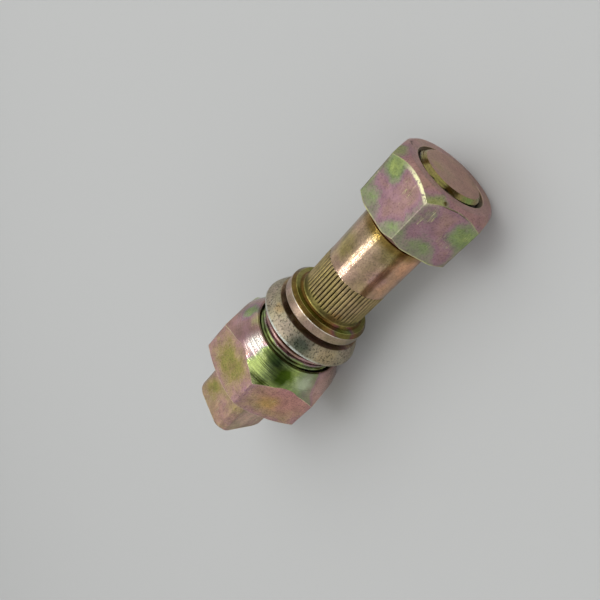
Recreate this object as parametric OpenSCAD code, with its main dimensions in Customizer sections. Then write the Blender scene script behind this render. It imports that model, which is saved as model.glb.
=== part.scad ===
// Truck wheel stud with its three nuts, lying along X.
// X = 0 is the collar's hub-side face, and the hub end points to +X.

/* [Hub side of the stud] */
// Thread diameter under the hub nut
hub_thread_d = 22; // [18:0.5:24]
// How much wider the plain shank is than that thread
shank_step = 0.8; // [0.4:0.1:2]
// Grip from the collar's face to the hub nut
grip = 38; // [28:0.1:60]
// Bare thread between the plain shank and the hub nut
hub_thread_gap = 2.8; // [0.5:0.1:6]
// Thread that stands out past the hub nut
hub_end_show = 1; // [0:0.1:8]
// Chamfer at the hub end of the stud
hub_end_chamfer = 1.5; // [0.5:0.1:2]
// Fillet between the shank and the collar
shank_fillet = 1.2; // [0.4:0.1:1.6]

/* [Knurl] */
// Number of grooves round the shank
knurl_grooves = 52; // [36:1:64]
// Where the knurl starts, from the collar's face
knurl_start = 2.4; // [2:0.1:4]
// Length of the knurled band
knurl_len = 12.8; // [6:0.1:18]
// How far the lands stand above the shank
knurl_rise = 0.1; // [0.05:0.01:0.2]
// How far the grooves are pressed below the shank
knurl_depth = 0.25; // [0.15:0.01:0.35]

/* [Collar] */
// Diameter of the collar
collar_d = 30.2; // [29.5:0.1:36]
// Thickness of the collar
collar_w = 4.7; // [3.5:0.1:8]
// Bevel on the collar's hub-side edge
collar_bevel = 1.2; // [0.3:0.1:1.4]
// Small chamfer on the collar's wheel-side edge
collar_back_chamfer = 0.4; // [0.2:0.1:1]

/* [Wheel side of the stud] */
// Thread diameter inside the inner nut
wheel_thread_d = 20; // [16:0.5:21]
// Length of that thread, from the collar
wheel_thread_len = 26; // [20:0.5:28]
// Chamfer at the wheel end of the stud
wheel_end_chamfer = 1.2; // [0.5:0.1:2]

/* [Hub nut] */
// Wall between the hub nut's thread and its flats
hub_nut_wall = 5; // [4.5:0.25:9]
// Height of the hub nut
hub_nut_h = 19; // [12:0.1:24]
// Depth of the corner chamfer at the stud's end
hub_nut_chamfer = 3.3; // [1:0.1:3.6]
// Depth of the corner chamfer at the hub
hub_nut_seat_chamfer = 1.6; // [0.6:0.1:2.2]
// Angle of both chamfers
hub_nut_chamfer_angle = 43; // [30:1:45]

/* [Inner nut] */
// Gap that the nut leaves at the collar
inner_nut_gap = 2.1; // [0.5:0.1:6]
// Diameter of the ball seat's front edge
inner_seat_front_d = 31.4; // [30:0.1:32.8]
// Diameter of the flange
flange_d = 36.5; // [34:0.1:42]
// How much larger than the flange's radius the ball seat's radius is
flange_crown = 1.25; // [0.8:0.05:4]
// Thickness of the lip behind the ball seat
flange_lip = 0.9; // [0.5:0.1:3]
// Chamfer on the back of the lip
flange_lip_chamfer = 0.4; // [0.1:0.05:0.45]
// Outside thread that carries the outer nut
inner_nut_thread_d = 30; // [28.5:0.5:32]
// Length of that thread, from the flange
inner_nut_thread_len = 34; // [28:0.5:44]
// Chamfer at the end of that thread
inner_nut_thread_chamfer = 1.2; // [0.5:0.1:1.5]
// Depth of the threaded hole past the end of the stud
hole_spare = 3; // [1:0.5:6]
// Width across the flats of the square end
square_af = 21; // [18:0.5:23]
// Diameter across the square's rounded corners
square_corner_d = 27; // [25:0.1:27.5]
// Length of the square end
square_len = 22.4; // [14:0.1:28]
// Chamfer on the corners at the tip of the square
square_tip = 1; // [0.5:0.1:2]

/* [Outer nut] */
// Gap between the flange and the outer nut
outer_nut_gap = 7.3; // [1:0.1:9]
// Wall between the outer nut's thread and its flats
outer_nut_wall = 5.5; // [5:0.25:9]
// Height of the outer nut
outer_nut_h = 24.5; // [20:0.5:30]
// Wall round the thread at the seat's mouth
outer_mouth_wall = 1.6; // [1:0.1:2.5]
// How much larger than half the flats the ball seat's radius is
outer_seat_crown = 1.5; // [1.2:0.1:4]
// How far past half the flats the ball seat runs
outer_seat_reach = 0.5; // [0.2:0.1:0.9]
// Angle of the corner chamfer behind the seat
outer_seat_chamfer_angle = 41; // [25:1:50]
// Depth of the corner chamfer at the outer face
outer_nut_chamfer = 1.9; // [1:0.1:3]
// Angle of that chamfer
outer_nut_chamfer_angle = 33; // [30:1:45]

/* [Fits] */
// Radial clearance in each thread
thread_clearance = 0.05; // [0.02:0.01:0.1]
// Chamfer at the mouths of the threaded holes
hole_chamfer = 0.9; // [0.3:0.1:1.2]

/* [Hidden] */
$fn = 96;
eps = 0.01;
gold = "#b89a5c";
rose = "#b48c82";
silver = "#a8a593";
olive = "#a79a55";

// Angle of the drill point in the blind hole
drill_angle = 31;
// Half a land's width, and the two sides of a groove's bottom, in pitches
knurl_land = 0.4;
knurl_bottom = [0.47, 0.53];

// Places along X
hub_r = hub_thread_d / 2;
shank_r = hub_r + shank_step / 2;
hub_end_x = grip + hub_nut_h + hub_end_show;
shoulder_x = grip - hub_thread_gap;
hub_nut_af = hub_thread_d + 2 * hub_nut_wall;
hub_nut_top_x = grip + hub_nut_h;
knurl_end = knurl_start + knurl_len;
knurl_root_r = shank_r - knurl_depth;
knurl_land_r = shank_r + knurl_rise;
wheel_r = wheel_thread_d / 2;
wheel_end_x = -collar_w - wheel_thread_len;
seat_front_x = -collar_w - inner_nut_gap;
seat_ball_r = flange_d / 2 + flange_crown;
seat_ball_x = seat_front_x - sqrt(pow(seat_ball_r, 2) - pow(inner_seat_front_d / 2, 2));
seat_back_x = seat_ball_x + sqrt(pow(seat_ball_r, 2) - pow(flange_d / 2, 2));
flange_back_x = seat_back_x - flange_lip;
thread_end_x = flange_back_x - inner_nut_thread_len;
square_end_x = thread_end_x - square_len;
hole_end_x = wheel_end_x - hole_spare;
mouth_x = flange_back_x - outer_nut_gap;
mouth_r = inner_nut_thread_d / 2 + outer_mouth_wall;
outer_nut_af = inner_nut_thread_d + 2 * outer_nut_wall;
outer_ball_r = outer_nut_af / 2 + outer_seat_crown;
outer_ball_x = mouth_x - sqrt(pow(outer_ball_r, 2) - pow(mouth_r, 2));
outer_seat_r = outer_nut_af / 2 + outer_seat_reach;
outer_seat_x = outer_ball_x + sqrt(pow(outer_ball_r, 2) - pow(outer_seat_r, 2));
outer_corner_r = outer_nut_af / sqrt(3);
outer_face_x = mouth_x - outer_nut_h;

// Turns a profile of [radius, X] about the X axis
module turned() {
    rotate([0, 90, 0]) rotate_extrude($fn = 96) children();
}

// Straight round bar along X
module bar(x0, x1, r) {
    translate([x0, 0, 0]) rotate([0, 90, 0]) cylinder(h = x1 - x0, r = r);
}

// Round bar along X that changes its radius
module taper(x0, x1, r0, r1) {
    translate([x0, 0, 0]) rotate([0, 90, 0]) cylinder(h = x1 - x0, r1 = r0, r2 = r1);
}

// Hexagonal bar along X, with two flats facing up and down
module hex_bar(x0, x1, af) {
    translate([x0, 0, 0]) rotate([0, 90, 0]) rotate([0, 0, 30]) cylinder(h = x1 - x0, r = af / sqrt(3), $fn = 6);
}

// Threaded hole along X as a plain bore with a chamfer at each open mouth
module threaded_hole(x0, x1, d) {
    r = d / 2 + thread_clearance;
    bar(x0 - eps, x1 + eps, r);
    taper(x0 - eps, x0 + hole_chamfer, r + hole_chamfer + eps, r);
    taper(x1 - hole_chamfer, x1 + eps, r, r + hole_chamfer + eps);
}

// Lands and grooves of the knurl, as one outline round the shank
module knurl() {
    pitch = 360 / knurl_grooves;
    outline = [
        for (i = [0 : knurl_grooves - 1])
        for (p = [
            [knurl_land_r, -knurl_land],
            [knurl_land_r, knurl_land],
            [knurl_root_r, knurl_bottom[0]],
            [knurl_root_r, knurl_bottom[1]]
        ])
        p[0] * [cos((i + p[1]) * pitch), sin((i + p[1]) * pitch)]
    ];
    translate([knurl_start, 0, 0]) rotate([0, 90, 0]) linear_extrude(knurl_len) polygon(outline);
}

// Turned blank of the stud, before the knurl is rolled
module stud_blank() {
    collar_r = collar_d / 2;
    turned() polygon([
        [0, wheel_end_x],
        [wheel_r - wheel_end_chamfer, wheel_end_x],
        [wheel_r, wheel_end_x + wheel_end_chamfer],
        [wheel_r, -collar_w],
        [collar_r - collar_back_chamfer, -collar_w],
        [collar_r, collar_back_chamfer - collar_w],
        [collar_r, -collar_bevel],
        [collar_r - collar_bevel, 0],
        [shank_r, 0],
        [shank_r, knurl_start],
        [knurl_root_r, knurl_start],
        [knurl_root_r, knurl_end],
        [shank_r, knurl_end],
        [shank_r, shoulder_x],
        [hub_r, shoulder_x + shank_step / 2],
        [hub_r, hub_end_x - hub_end_chamfer],
        [hub_r - hub_end_chamfer, hub_end_x],
        [0, hub_end_x]
    ]);
    turned() difference() {
        translate([shank_r - eps, -eps]) square([shank_fillet + eps, shank_fillet + eps]);
        translate([shank_r + shank_fillet, shank_fillet]) circle(r = shank_fillet);
    }
}

module stud() {
    color(gold) {
        stud_blank();
        knurl();
    }
}

module hub_nut() {
    corner_r = hub_nut_af / sqrt(3);
    seat_face_r = corner_r - hub_nut_seat_chamfer / tan(hub_nut_chamfer_angle);
    face_r = corner_r - hub_nut_chamfer / tan(hub_nut_chamfer_angle);
    color(rose) difference() {
        intersection() {
            hex_bar(grip, hub_nut_top_x, hub_nut_af);
            turned() polygon([
                [0, grip],
                [seat_face_r, grip],
                [corner_r + eps, grip + hub_nut_seat_chamfer],
                [corner_r + eps, hub_nut_top_x - hub_nut_chamfer],
                [face_r, hub_nut_top_x],
                [0, hub_nut_top_x]
            ]);
        }
        threaded_hole(grip, hub_nut_top_x, hub_thread_d);
    }
}

// Square drive end with turned corners, chamfered at the tip
module square_end() {
    corner_r = square_corner_d / 2;
    intersection() {
        translate([(square_end_x + thread_end_x) / 2, 0, 0])
            cube([square_len + 2 * eps, square_af, square_af], center = true);
        turned() polygon([
            [0, square_end_x],
            [corner_r - square_tip, square_end_x],
            [corner_r, square_end_x + square_tip],
            [corner_r, thread_end_x + eps],
            [0, thread_end_x + eps]
        ]);
    }
}

// Turned body of the inner nut: ball seat, flange lip and outside thread
module inner_nut_body() {
    flange_r = flange_d / 2;
    thread_r = inner_nut_thread_d / 2;
    turned() intersection() {
        translate([0, seat_ball_x]) circle(r = seat_ball_r);
        polygon([[0, seat_back_x], [flange_r, seat_back_x], [flange_r, seat_front_x], [0, seat_front_x]]);
    }
    turned() polygon([
        [0, thread_end_x],
        [thread_r - inner_nut_thread_chamfer, thread_end_x],
        [thread_r, thread_end_x + inner_nut_thread_chamfer],
        [thread_r, flange_back_x],
        [flange_r - flange_lip_chamfer, flange_back_x],
        [flange_r, flange_back_x + flange_lip_chamfer],
        [flange_r, seat_back_x],
        [0, seat_back_x]
    ]);
}

module inner_nut() {
    hole_r = wheel_r + thread_clearance;
    color(silver) difference() {
        union() {
            inner_nut_body();
            square_end();
        }
        turned() polygon([
            [0, hole_end_x - hole_r * tan(drill_angle)],
            [hole_r, hole_end_x],
            [hole_r, seat_front_x - hole_chamfer],
            [hole_r + hole_chamfer + eps, seat_front_x + eps],
            [0, seat_front_x + eps]
        ]);
    }
}

// Turned outline of the outer nut: outer chamfer, corner chamfer and ball seat
module outer_nut_outline() {
    seat_chamfer = (outer_corner_r - outer_seat_r) * tan(outer_seat_chamfer_angle);
    face_r = outer_corner_r - outer_nut_chamfer / tan(outer_nut_chamfer_angle);
    turned() intersection() {
        translate([0, outer_ball_x]) circle(r = outer_ball_r);
        polygon([[0, outer_seat_x], [outer_corner_r, outer_seat_x], [outer_corner_r, mouth_x], [0, mouth_x]]);
    }
    turned() polygon([
        [0, outer_face_x],
        [face_r, outer_face_x],
        [outer_corner_r + eps, outer_face_x + outer_nut_chamfer],
        [outer_corner_r + eps, outer_seat_x - seat_chamfer],
        [outer_seat_r, outer_seat_x],
        [0, outer_seat_x]
    ]);
}

module outer_nut() {
    color(olive) difference() {
        intersection() {
            hex_bar(outer_face_x, mouth_x, outer_nut_af);
            outer_nut_outline();
        }
        threaded_hole(outer_face_x, mouth_x, inner_nut_thread_d);
    }
}

stud();
hub_nut();
inner_nut();
outer_nut();
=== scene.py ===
import math
import random

import bmesh
import bpy
from mathutils import Matrix, Quaternion, Vector


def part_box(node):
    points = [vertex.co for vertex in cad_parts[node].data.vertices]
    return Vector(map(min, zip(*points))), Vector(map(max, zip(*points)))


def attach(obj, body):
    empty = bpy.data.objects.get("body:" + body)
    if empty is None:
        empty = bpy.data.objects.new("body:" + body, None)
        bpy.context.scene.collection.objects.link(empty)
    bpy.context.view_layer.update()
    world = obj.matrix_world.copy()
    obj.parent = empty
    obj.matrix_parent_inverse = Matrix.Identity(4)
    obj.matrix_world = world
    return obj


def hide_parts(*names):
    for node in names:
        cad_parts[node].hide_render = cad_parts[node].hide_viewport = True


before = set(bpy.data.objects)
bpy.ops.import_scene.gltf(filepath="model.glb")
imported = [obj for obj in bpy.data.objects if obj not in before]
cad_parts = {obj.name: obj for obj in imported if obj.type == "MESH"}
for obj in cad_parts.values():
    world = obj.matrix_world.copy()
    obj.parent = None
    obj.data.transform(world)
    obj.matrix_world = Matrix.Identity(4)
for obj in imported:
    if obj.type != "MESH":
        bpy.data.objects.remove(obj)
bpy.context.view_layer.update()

mm = 0.001
# M22 and M20 have the fine thread, M30 the coarse one
finePitch, fineDepth = 1.5 * mm, 0.8 * mm
coarsePitch, coarseDepth = 2 * mm, 0.9 * mm
threadStep = finePitch / 8   # longest stretch of an outline that becomes a thread
axisR = 0.5 * mm             # verts nearer the axis than this aren't moved in or out


# Lathe and mill

def softened(outline, radius):
    # rounds the corners of a lathe outline, each point is (x, r)
    cuts, nearlyStraight, sideShare = 3, math.radians(176), 0.45
    points = [Vector(p) for p in outline]
    rounded = [points[0]]
    for before, corner, after in zip(points, points[1:], points[2:]):
        back, ahead = before - corner, after - corner
        if back.angle(ahead) > nearlyStraight:
            rounded.append(corner)
            continue
        start = corner + back.normalized() * min(radius, back.length * sideShare)
        end = corner + ahead.normalized() * min(radius, ahead.length * sideShare)
        for k in range(cuts + 1):
            t = k / cuts
            rounded.append(start * (1 - t) ** 2 + corner * 2 * t * (1 - t) + end * t * t)
    rounded.append(points[-1])
    return rounded


def dividedBy(outline, stepFor):
    # splits each stretch of the outline so that none is longer than the step for it
    fine = []
    for a, b in zip(outline, outline[1:]):
        count = max(1, math.ceil((b - a).length / stepFor(a, b)))
        fine += [a.lerp(b, k / count) for k in range(count)]
    fine.append(outline[-1])
    return fine


def divided(outline, longest):
    return dividedBy(outline, lambda a, b: longest)


def arcOutline(centreX, radius, rStart, rEnd, cuts):
    # points of a ball seat between two radii, the ball sits on the axis
    points = []
    for k in range(cuts + 1):
        r = rStart + (rEnd - rStart) * k / cuts
        points.append((centreX + math.sqrt(radius ** 2 - r ** 2), r))
    return points


def turnOnLathe(outline, steps, closed=False):
    bm = bmesh.new()
    verts = [bm.verts.new((p[0], 0, p[1])) for p in outline]
    edges = [bm.edges.new(pair) for pair in zip(verts, verts[1:])]
    if closed:
        edges.append(bm.edges.new((verts[-1], verts[0])))
    bmesh.ops.spin(bm, geom=verts + edges, cent=(0, 0, 0), axis=(1, 0, 0), dvec=(0, 0, 0),
                   angle=2 * math.pi, steps=steps, use_merge=True)
    bmesh.ops.remove_doubles(bm, verts=bm.verts, dist=1e-7)
    bmesh.ops.recalc_face_normals(bm, faces=bm.faces)
    return bm


def millHexagon(bm, distance):
    # cuts six flats round the blank, the first one faces up
    for k in range(6):
        angle = math.radians(90 + 60 * k)
        normal = Vector((0, math.cos(angle), math.sin(angle)))
        cut = bmesh.ops.bisect_plane(bm, geom=bm.verts[:] + bm.edges[:] + bm.faces[:], dist=1e-7,
                                     plane_co=normal * distance, plane_no=normal, clear_outer=True)
        cutEdges = [g for g in cut["geom_cut"] if isinstance(g, bmesh.types.BMEdge)]
        bmesh.ops.holes_fill(bm, edges=cutEdges, sides=0)
    bmesh.ops.recalc_face_normals(bm, faces=bm.faces)


def breakEdges(bm, offset, outsideOf, lengthwise):
    # rounds the sharp edges that the milling left, either those along the axis or the other ones
    sharpFrom, alongAxis = math.radians(18), 0.999
    sharp = [e for e in bm.edges if len(e.link_faces) == 2 and e.calc_face_angle() > sharpFrom
             and min(radiusOf(v.co) for v in e.verts) > outsideOf
             and (abs((e.verts[1].co - e.verts[0].co).normalized().x) > alongAxis) == lengthwise]
    bmesh.ops.bevel(bm, geom=sharp, offset=offset, offset_type="OFFSET", segments=3,
                    profile=0.5, affect="EDGES", clamp_overlap=True, material=-1)


def radiusOf(co):
    return math.hypot(co.y, co.z)


def setRadius(vert, radius):
    old = radiusOf(vert.co)
    vert.co.y *= radius / old
    vert.co.z *= radius / old


def threadGroove(x, angle, pitch, crest):
    # 0 on the crest, 1 at the bottom of the right-hand thread
    bottom = 0.8
    turn = (x / pitch - angle / (2 * math.pi)) % 1
    return min(1, max(0, (abs(2 * turn - 1) - crest) / (bottom - crest)))


def cutThread(bm, xStart, xEnd, crestR, pitch=finePitch, full=fineDepth, inside=False,
              fadeStart=0, fadeEnd=0, crest=0.1):
    # only verts between the two x and near the thread's radius belong to it
    slack = 0.1 * mm
    for v in bm.verts:
        x, r = v.co.x, radiusOf(v.co)
        if not xStart <= x <= xEnd or r < crestR - 2 * full:
            continue
        depth = full * threadGroove(x, math.atan2(v.co.z, v.co.y), pitch, crest)
        if fadeStart:
            depth *= min(1, (x - xStart) / fadeStart)
        if fadeEnd:
            depth *= min(1, (xEnd - x) / fadeEnd)
        if inside:
            setRadius(v, max(r, crestR - depth))
        elif r <= crestR + slack:
            setRadius(v, min(r, crestR - depth))


def makeNut(n, outside, pitch, depth):
    # turns the outline of a nut's outside together with its bore, mills the flats and cuts the thread
    bore = divided([Vector((n["high"] - n["mouth"] - depth, n["threadR"] - depth)),
                    Vector((n["low"] + n["mouth"] + depth, n["threadR"] - depth))], threadStep)
    mouthIn = divided([bore[-1], outside[0]], threadStep)[1:-1]
    mouthOut = divided([outside[-1], bore[0]], threadStep)[1:-1]
    bm = turnOnLathe(outside + mouthOut + bore + mouthIn, n["steps"], closed=True)
    millHexagon(bm, n["halfFlats"])
    nearCorners = n["halfFlats"] * 0.97
    breakEdges(bm, n["edge"], nearCorners, True)
    breakEdges(bm, n["rimEdge"], nearCorners, False)
    cutThread(bm, n["low"], n["high"], n["threadR"], pitch=pitch, full=depth, inside=True)
    return bm


def addPiece(bm, name, node, finishNames, pickFinish):
    # makes the piece, attaches it to its part's body and hides the part; pickFinish gives the finish of a
    # face from its centre and normal
    creaseFrom = math.radians(40)
    for f in bm.faces:
        f.smooth = True
        f.material_index = finishNames.index(pickFinish(f.calc_center_median(), f.normal))
    for e in bm.edges:
        if len(e.link_faces) == 2 and e.calc_face_angle() > creaseFrom:
            e.smooth = False
    mesh = bpy.data.meshes.new(name)
    bm.to_mesh(mesh)
    bm.free()
    for finishName in finishNames:
        mesh.materials.append(finishes[finishName])
    piece = bpy.data.objects.new(name, mesh)
    bpy.context.scene.collection.objects.link(piece)
    weighted = piece.modifiers.new("weightedNormals", "WEIGHTED_NORMAL")
    weighted.keep_sharp = True
    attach(piece, node)
    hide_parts(node)
    print("made", name, len(mesh.polygons), "faces")


# Shader helpers

def tone(r, g, b):
    # a colour as it looks on screen, 0 to 255, made linear
    return tuple(((c / 255 + 0.055) / 1.055) ** 2.4 for c in (r, g, b)) + (1,)


def grey(value):
    return value, value, value, 1


def setInput(tree, socket, value):
    if isinstance(value, bpy.types.NodeSocket):
        tree.links.new(value, socket)
    else:
        socket.default_value = value


def addNode(tree, kind, inputs=None, **settings):
    node = tree.nodes.new(kind)
    for key, value in settings.items():
        setattr(node, key, value)
    for key, value in (inputs or {}).items():
        setInput(tree, node.inputs[key], value)
    return node


def math2(tree, operation, a, b=0.0, clamp=False):
    node = addNode(tree, "ShaderNodeMath", {0: a, 1: b}, operation=operation, use_clamp=clamp)
    return node.outputs[0]


def remap(tree, value, low, high, toLow=0.0, toHigh=1.0):
    node = addNode(tree, "ShaderNodeMapRange", {0: value, 1: low, 2: high, 3: toLow, 4: toHigh})
    return node.outputs[0]


def mixColour(tree, factor, a, b, blend="MIX"):
    node = addNode(tree, "ShaderNodeMix", data_type="RGBA", blend_type=blend)
    for index, value in ((0, factor), (6, a), (7, b)):
        setInput(tree, node.inputs[index], value)
    return node.outputs[2]


def ramp(tree, value, stops):
    node = addNode(tree, "ShaderNodeValToRGB", {0: value})
    elements = node.color_ramp.elements
    while len(elements) < len(stops):
        elements.new(1)
    for element, (position, colour) in zip(elements, stops):
        element.position = position
        element.color = colour
    return node.outputs[0]


def noiseValue(tree, vector, scale, detail, roughness):
    node = addNode(tree, "ShaderNodeTexNoise", {"Vector": vector, "Scale": scale, "Detail": detail,
                                               "Roughness": roughness})
    return node.outputs[0]


def pushed(tree, vector, scale, amount):
    # the place, pushed about by noise so that borders wander
    push = addNode(tree, "ShaderNodeTexNoise", {"Vector": vector, "Scale": scale, "Detail": 3.0})
    centred = addNode(tree, "ShaderNodeVectorMath", {0: push.outputs[1], 1: (0.5, 0.5, 0.5)},
                      operation="SUBTRACT")
    scaled = addNode(tree, "ShaderNodeVectorMath", {0: centred.outputs[0], "Scale": amount},
                     operation="SCALE")
    return addNode(tree, "ShaderNodeVectorMath", {0: vector, 1: scaled.outputs[0]}).outputs[0]


def aroundAxis(tree, vector):
    # how far along the stud's axis a point lies, how far out, and at which angle
    along, y, z = addNode(tree, "ShaderNodeSeparateXYZ", {0: vector}).outputs
    squares = math2(tree, "ADD", math2(tree, "POWER", y, 2.0), math2(tree, "POWER", z, 2.0))
    return along, math2(tree, "SQRT", squares), math2(tree, "ARCTAN2", z, y)


def nearness(tree, vector, centre, reach):
    # 1 around a place, falling to 0 at the reach, with a wandering border
    place = pushed(tree, vector, scale=330.0, amount=4 * mm)
    away = addNode(tree, "ShaderNodeVectorMath", {0: place, 1: centre}, operation="DISTANCE").outputs["Value"]
    peak = 1.3   # above 1, so that the middle is even
    near = addNode(tree, "ShaderNodeMapRange", {0: away, 1: reach, 2: 0.0, 3: 0.0, 4: peak},
                   interpolation_type="SMOOTHSTEP").outputs[0]
    return math2(tree, "MINIMUM", near, 1.0)


# kinds of sockets
number, vector3, colour4 = "NodeSocketFloat", "NodeSocketVector", "NodeSocketColor"


def newGroup(name, inputs, outputs):
    tree = bpy.data.node_groups.new(name, "ShaderNodeTree")
    for label, kind in inputs:
        tree.interface.new_socket(name=label, in_out="INPUT", socket_type=kind)
    for label, kind in outputs:
        tree.interface.new_socket(name=label, in_out="OUTPUT", socket_type=kind)
    start = tree.nodes.new("NodeGroupInput")
    end = tree.nodes.new("NodeGroupOutput")
    return tree, start.outputs, end.inputs


def useGroup(tree, group, inputs):
    return addNode(tree, "ShaderNodeGroup", inputs, node_tree=group).outputs


# Shared effects

wanderScale = 260.0   # of the noise that makes borders wander

filmTones = [
    (0.00, tone(154, 150, 81)),     # olive yellow
    (0.14, tone(169, 152, 97)),     # old gold
    (0.28, tone(185, 161, 123)),    # tan
    (0.40, tone(185, 152, 132)),    # salmon
    (0.52, tone(183, 145, 143)),    # rose
    (0.62, tone(172, 134, 147)),    # mauve
    (0.72, tone(158, 152, 134)),    # grey
    (0.82, tone(145, 163, 112)),    # green
    (0.92, tone(169, 185, 108)),    # lime
    (1.00, tone(209, 216, 163)),    # pale lime
]


def makeZincPlace():
    # where a point lies on the part, with wandering borders
    tree, given, out = newGroup(
        "zincPlace",
        [("Vector", vector3), ("Wander", number), ("Facing Angle", number), ("Low", number),
         ("High", number)],
        [("Along", number), ("Radius", number), ("Facing", number), ("Border", number)])
    along, radius, angle = aroundAxis(tree, pushed(tree, given["Vector"], wanderScale, given["Wander"]))
    tree.links.new(along, out["Along"])
    tree.links.new(radius, out["Radius"])
    turned = math2(tree, "SUBTRACT", angle, given["Facing Angle"])
    tree.links.new(math2(tree, "COSINE", turned), out["Facing"])
    # Border is 0 in the middle of a hexagon's flat and 1 at its edges
    corners = 5.0
    sector = math2(tree, "FRACT", math2(tree, "DIVIDE", angle, math.pi / 3))
    across = math2(tree, "ABSOLUTE", math2(tree, "MULTIPLY", math2(tree, "SUBTRACT", sector, 0.5), 2.0))
    length = math2(tree, "ABSOLUTE", remap(tree, along, given["Low"], given["High"], -1.0, 1.0))
    total = math2(tree, "ADD", math2(tree, "POWER", across, corners), math2(tree, "POWER", length, corners))
    tree.links.new(math2(tree, "POWER", total, 1 / corners), out["Border"])
    return tree


def makeSpot():
    # a soft round patch, as a mask
    tree, given, out = newGroup("spot", [("Vector", vector3), ("Centre", vector3), ("Reach", number)],
                                [("Mask", number)])
    tree.links.new(nearness(tree, given["Vector"], given["Centre"], given["Reach"]), out["Mask"])
    return tree


def makeRimBand():
    # a ragged band along a rim, as a mask, for painted highlights on rims and for knocked rims; the rim is
    # where radius + along * slope lies between start and end
    tree, given, out = newGroup(
        "rimBand",
        [("Vector", vector3), ("Slope", number), ("Start", number), ("End", number), ("Centre", vector3),
         ("Reach", number)],
        [("Mask", number)])
    fade, wander = 0.3 * mm, 0.2 * mm
    along, radius, _ = aroundAxis(tree, pushed(tree, given["Vector"], wanderScale, wander))
    rim = math2(tree, "ADD", radius, math2(tree, "MULTIPLY", along, given["Slope"]))
    middle = math2(tree, "MULTIPLY", math2(tree, "ADD", given["Start"], given["End"]), 0.5)
    beyond = math2(tree, "ADD", given["End"], fade)
    band = math2(tree, "MULTIPLY", remap(tree, rim, given["Start"], middle),
                 remap(tree, rim, beyond, given["End"]))
    near = nearness(tree, given["Vector"], given["Centre"], given["Reach"])
    ragged = noiseValue(tree, given["Vector"], scale=1400.0, detail=3.0, roughness=0.7)
    ragged = remap(tree, ragged, low=0.36, high=0.48)
    mask = math2(tree, "MULTIPLY", math2(tree, "MULTIPLY", band, near), ragged)
    tree.links.new(mask, out["Mask"])
    return tree


def makeZincBloom():
    # colour of the yellow zinc's film, whose thickness drifts about the given phase
    tree, given, out = newGroup(
        "zincBloom",
        [("Vector", vector3), ("Phase", number), ("Patch Scale", number), ("Patch Amount", number),
         ("Grain Amount", number)],
        [("Colour", colour4), ("Patch", number)])
    patch = noiseValue(tree, given["Vector"], given["Patch Scale"], detail=3.0, roughness=0.42)
    fine = noiseValue(tree, given["Vector"], scale=1300.0, detail=3.0, roughness=0.65)
    drift = math2(tree, "MULTIPLY", math2(tree, "SUBTRACT", patch, 0.5), given["Patch Amount"])
    grain = math2(tree, "MULTIPLY", math2(tree, "SUBTRACT", fine, 0.5), given["Grain Amount"])
    total = math2(tree, "ADD", math2(tree, "ADD", given["Phase"], drift), grain, clamp=True)
    tree.links.new(ramp(tree, total, filmTones), out["Colour"])
    tree.links.new(patch, out["Patch"])
    return tree


def makeZincDirt():
    # dull stains and small dark speckles, as a tone to multiply with
    tree, given, out = newGroup(
        "zincDirt",
        [("Vector", vector3), ("Stain Vector", vector3), ("Stain Scale", number), ("Stain", number),
         ("Speckle Scale", number), ("Speckle", number)],
        [("Tone", number)])
    stain = noiseValue(tree, given["Stain Vector"], given["Stain Scale"], detail=4.0, roughness=0.6)
    stain = remap(tree, stain, low=0.3, high=0.62, toLow=math2(tree, "SUBTRACT", 1.0, given["Stain"]))
    speckle = noiseValue(tree, given["Vector"], given["Speckle Scale"], detail=3.0, roughness=0.75)
    speckle = remap(tree, speckle, low=0.36, high=0.5, toLow=math2(tree, "SUBTRACT", 1.0, given["Speckle"]))
    tree.links.new(math2(tree, "MULTIPLY", speckle, stain), out["Tone"])
    return tree


def makeWearAndSheen():
    # worn edges, which also carry a painted edge highlight, and thin stray scratches, as masks; the first
    # output holds both
    tree, given, out = newGroup(
        "wearAndSheen", [("Vector", vector3), ("Reach", number), ("Rub And Sheen", number), ("Scratch", number)],
        [("Worn And Sheen", number), ("Scratches", number)])
    # the normal bends away from the face's own near an edge
    bevel = addNode(tree, "ShaderNodeBevel", {"Radius": given["Reach"]}, samples=8)
    geometry = tree.nodes.new("ShaderNodeNewGeometry")
    dot = addNode(tree, "ShaderNodeVectorMath", {0: bevel.outputs[0], 1: geometry.outputs["Normal"]},
                  operation="DOT_PRODUCT").outputs["Value"]
    edge = remap(tree, math2(tree, "SUBTRACT", 1.0, dot), low=0.003, high=0.08)
    uneven = noiseValue(tree, given["Vector"], scale=700.0, detail=3.0, roughness=0.6)
    uneven = remap(tree, uneven, low=0.35, high=0.6, toLow=0.25)
    # edges, partly worn and partly painted highlight, thinned out by noise
    rubAndSheenMask = math2(tree, "MULTIPLY", edge, math2(tree, "MULTIPLY", uneven, given["Rub And Sheen"]))
    halfWidth = 0.012   # of a scratch, on the noise whose middle line it follows
    lines = []
    for turn, seed in (((0.4, 0.3, 0.5), 0.03), ((1.2, 0.8, -0.6), 0.07)):
        moved = addNode(tree, "ShaderNodeMapping", {"Vector": given["Vector"], "Location": (seed, seed, 0),
                                                   "Rotation": turn, "Scale": (60, 1500, 1500)}).outputs[0]
        line = noiseValue(tree, moved, scale=1.0, detail=1.0, roughness=0.4)
        away = math2(tree, "ABSOLUTE", math2(tree, "SUBTRACT", line, 0.5))
        lines.append(remap(tree, away, low=0.0, high=halfWidth, toLow=1.0, toHigh=0.0))
    where = noiseValue(tree, given["Vector"], scale=230.0, detail=2.0, roughness=0.5)
    where = remap(tree, where, low=0.55, high=0.68)
    marks = math2(tree, "MULTIPLY", math2(tree, "MAXIMUM", *lines), where)
    marks = math2(tree, "MULTIPLY", marks, given["Scratch"])
    tree.links.new(math2(tree, "MAXIMUM", rubAndSheenMask, marks), out["Worn And Sheen"])
    tree.links.new(marks, out["Scratches"])
    return tree


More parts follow.
